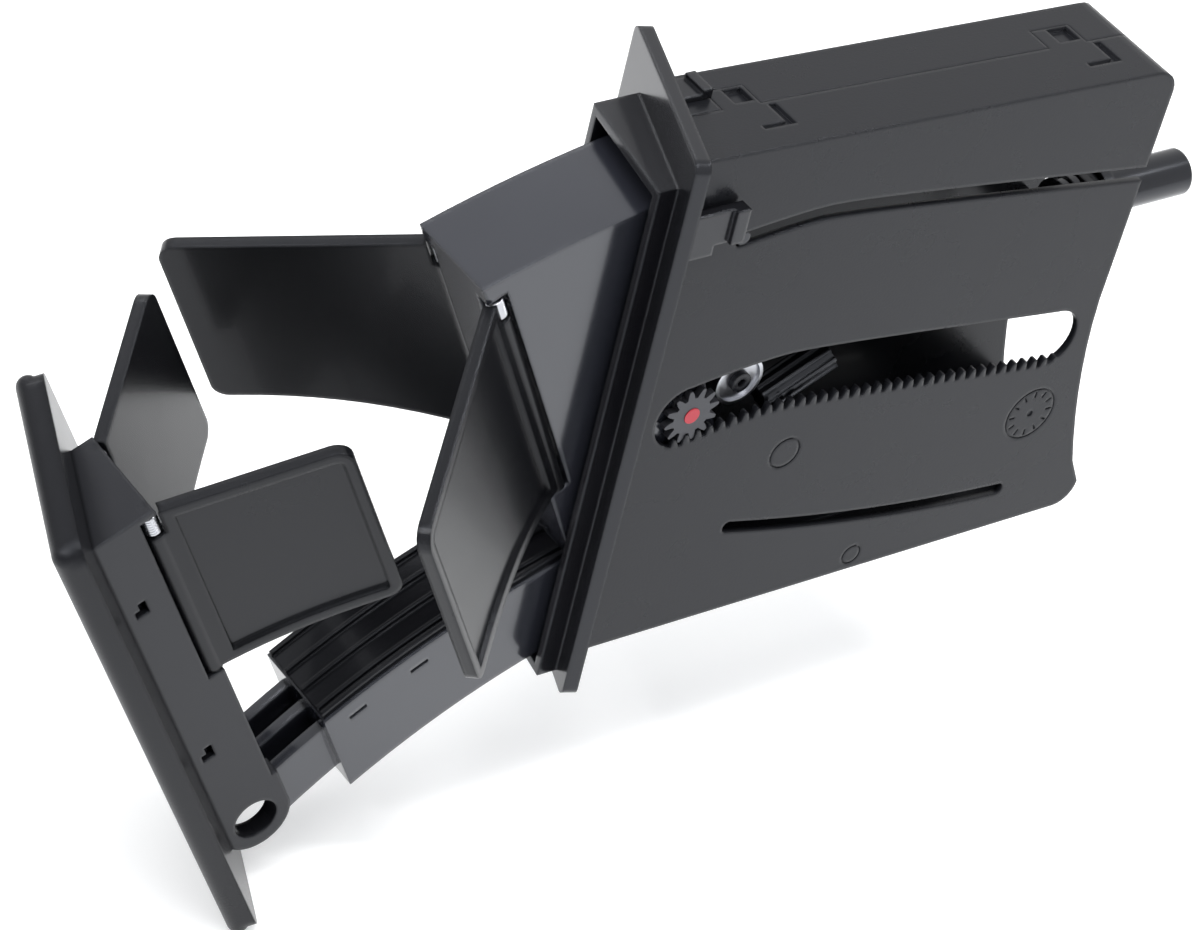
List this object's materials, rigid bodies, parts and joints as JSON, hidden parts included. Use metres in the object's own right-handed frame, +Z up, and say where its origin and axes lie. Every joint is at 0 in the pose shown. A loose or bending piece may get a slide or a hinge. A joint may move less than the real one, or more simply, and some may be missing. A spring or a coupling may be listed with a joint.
{
  "type": "pull-out cup holder",
  "caption": "Pull-out cup holder for a car's dash: a flat cassette with a slanted bezel and a drawer on an arc, with folding flaps that ring the cup and a damper gear on a rack.",
  "frame": {"origin": "middle of the opening in the slanted bezel, at the bezel's back plane", "axes": "+X into the dash along the cassette, +Y across the cassette away from the rack's side, +Z up along the bezel"},
  "size_m": [0.3597, 0.1234, 0.2208],
  "materials": {
    "case": "satin grain",
    "bezel": "satin grain",
    "latch_black": "gloss",
    "plunger": "satin",
    "drawer": "semi-gloss",
    "front": "satin",
    "floor": "semi-gloss",
    "pegs": "satin",
    "catch": "satin",
    "reel": "satin",
    "spring_steel": "bright",
    "pin_steel": "bright",
    "flap_rear": "satin",
    "flap_front": "satin",
    "gear": "satin",
    "hub_red": "gloss",
    "clips": "satin"
  },
  "bodies": {
    "housing": {"housing_near": "case", "housing_far": "case", "bezel": "bezel", "latch_bracket": "latch_black", "latch_barrel": "latch_black"},
    "latch_plunger": {"latch_plunger": "plunger"},
    "drawer": {"drawer_frame": "drawer", "front_box": "front", "front_cover": "front", "cup_floor": "floor", "guide_peg_near": "pegs", "guide_peg_far": "pegs", "latch_striker": "catch", "damper_body": "latch_black", "spring_reel": "reel", "eject_spring": "spring_steel", "tail_rod": "latch_black", "hinge_pins": "pin_steel", "flap_springs": "spring_steel", "cover_clips": "clips"},
    "rear_near_flap": {"flap_rear_near": "flap_rear"},
    "rear_far_flap": {"flap_rear_far": "flap_rear"},
    "front_near_flap": {"flap_front_near": "flap_front"},
    "front_far_flap": {"flap_front_far": "flap_front"},
    "damper_wheel": {"damper_gear": "gear", "damper_hub": "hub_red"}
  },
  "joints": [
    {"name": "drawer_arc", "type": "hinge", "parent": "housing", "child": "drawer", "pos_m": [0.051, 0, -0.2668], "axis": [0, 1, 0], "range_deg": [0, 4]},
    {"name": "rear_near_flap_hinge", "type": "hinge", "parent": "drawer", "child": "rear_near_flap", "pos_m": [-0.03978, -0.0119, 0.01232], "axis": [-0.4462, 0, 0.8949], "range_deg": [-42.4, 0]},
    {"name": "rear_far_flap_hinge", "type": "hinge", "parent": "drawer", "child": "rear_far_flap", "pos_m": [-0.03978, 0.0119, 0.01232], "axis": [-0.4462, 0, 0.8949], "range_deg": [0, 42.4]},
    {"name": "front_near_flap_hinge", "type": "hinge", "parent": "drawer", "child": "front_near_flap", "pos_m": [-0.13289, -0.0115, -0.02237], "axis": [-0.4462, 0, 0.8949], "range_deg": [0, 28.5]},
    {"name": "front_far_flap_hinge", "type": "hinge", "parent": "drawer", "child": "front_far_flap", "pos_m": [-0.13289, 0.0115, -0.02237], "axis": [-0.4462, 0, 0.8949], "range_deg": [-56, 0]},
    {"name": "damper_gear_spin", "type": "hinge", "parent": "drawer", "child": "damper_wheel", "pos_m": [0.01352, -0.0156, -0.00669], "axis": [0, 1, 0], "continuous": true},
    {"name": "latch_push", "type": "slide", "parent": "housing", "child": "latch_plunger", "axis": [1, 0, 0], "range_m": [0, 0.006], "stiffness_N_per_m": 120}
  ],
  "couplings": [
    {"joint": "rear_near_flap_hinge", "follows": "drawer_arc", "ratio": -10.6},
    {"joint": "rear_far_flap_hinge", "follows": "drawer_arc", "ratio": 10.6},
    {"joint": "front_near_flap_hinge", "follows": "drawer_arc", "ratio": 7.125},
    {"joint": "front_far_flap_hinge", "follows": "drawer_arc", "ratio": -14},
    {"joint": "damper_gear_spin", "follows": "drawer_arc", "ratio": 35.5}
  ]
}
